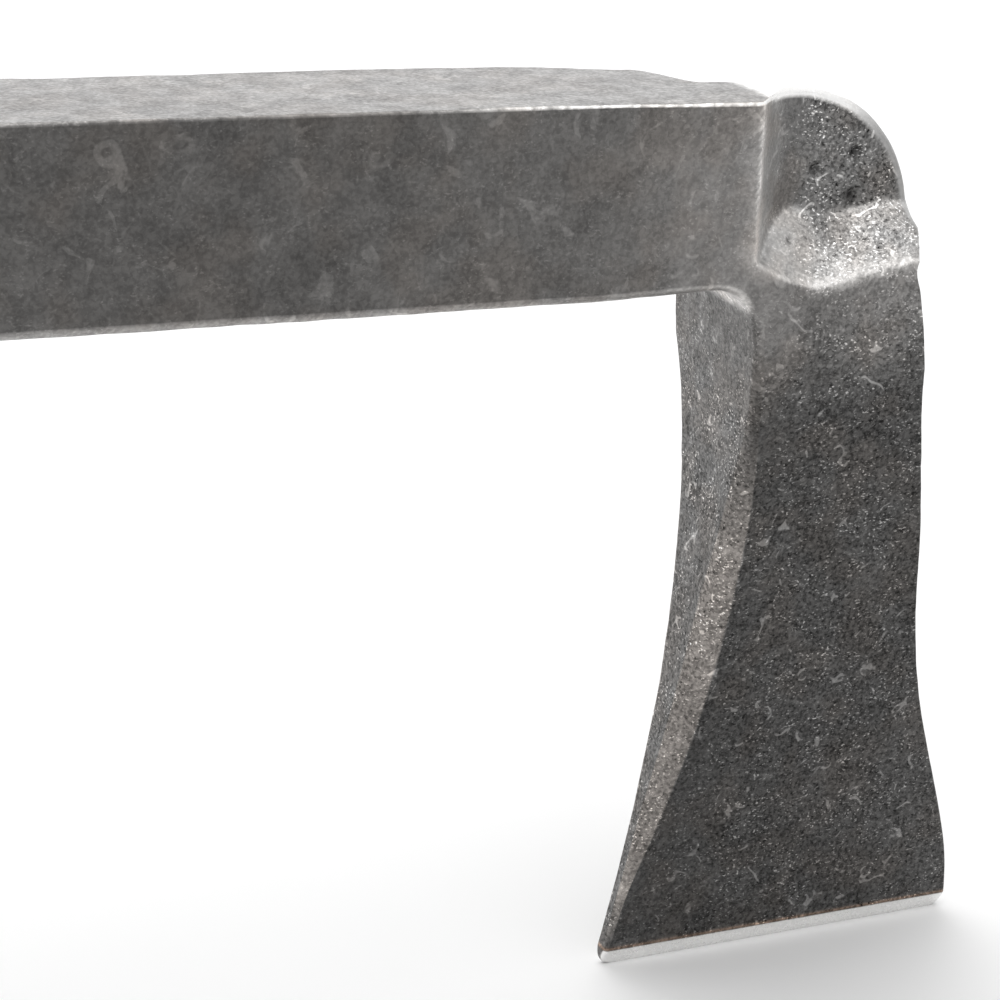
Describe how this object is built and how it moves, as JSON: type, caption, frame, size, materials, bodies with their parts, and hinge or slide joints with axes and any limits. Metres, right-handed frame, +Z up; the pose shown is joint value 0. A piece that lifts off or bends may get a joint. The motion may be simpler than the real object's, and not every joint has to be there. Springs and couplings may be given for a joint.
{
  "type": "log dog",
  "caption": "Forged steel log dog: a square bar with both ends bent down to chisel edges, one edge along the bar and the other across it.",
  "frame": {"origin": "on the surface that the dog stands on, under the middle of its length and of its width", "axes": "+X along the bar towards the leg whose edge lies along the bar, +Z up from the edges to the bar, -Y towards the face that the picture shows"},
  "size_m": [0.6, 0.0474, 0.1045],
  "materials": {
    "forged_bar": "hammer-forged steel with thin dark grey scale, rubbed bright on its corners",
    "forged_leg": "hammer-forged steel with charcoal scale, brown along its edges, with a bright ground bevel"
  },
  "bodies": {
    "root": {"bar": "forged_bar", "along_leg": "forged_leg", "cross_leg": "forged_leg"}
  },
  "joints": []
}
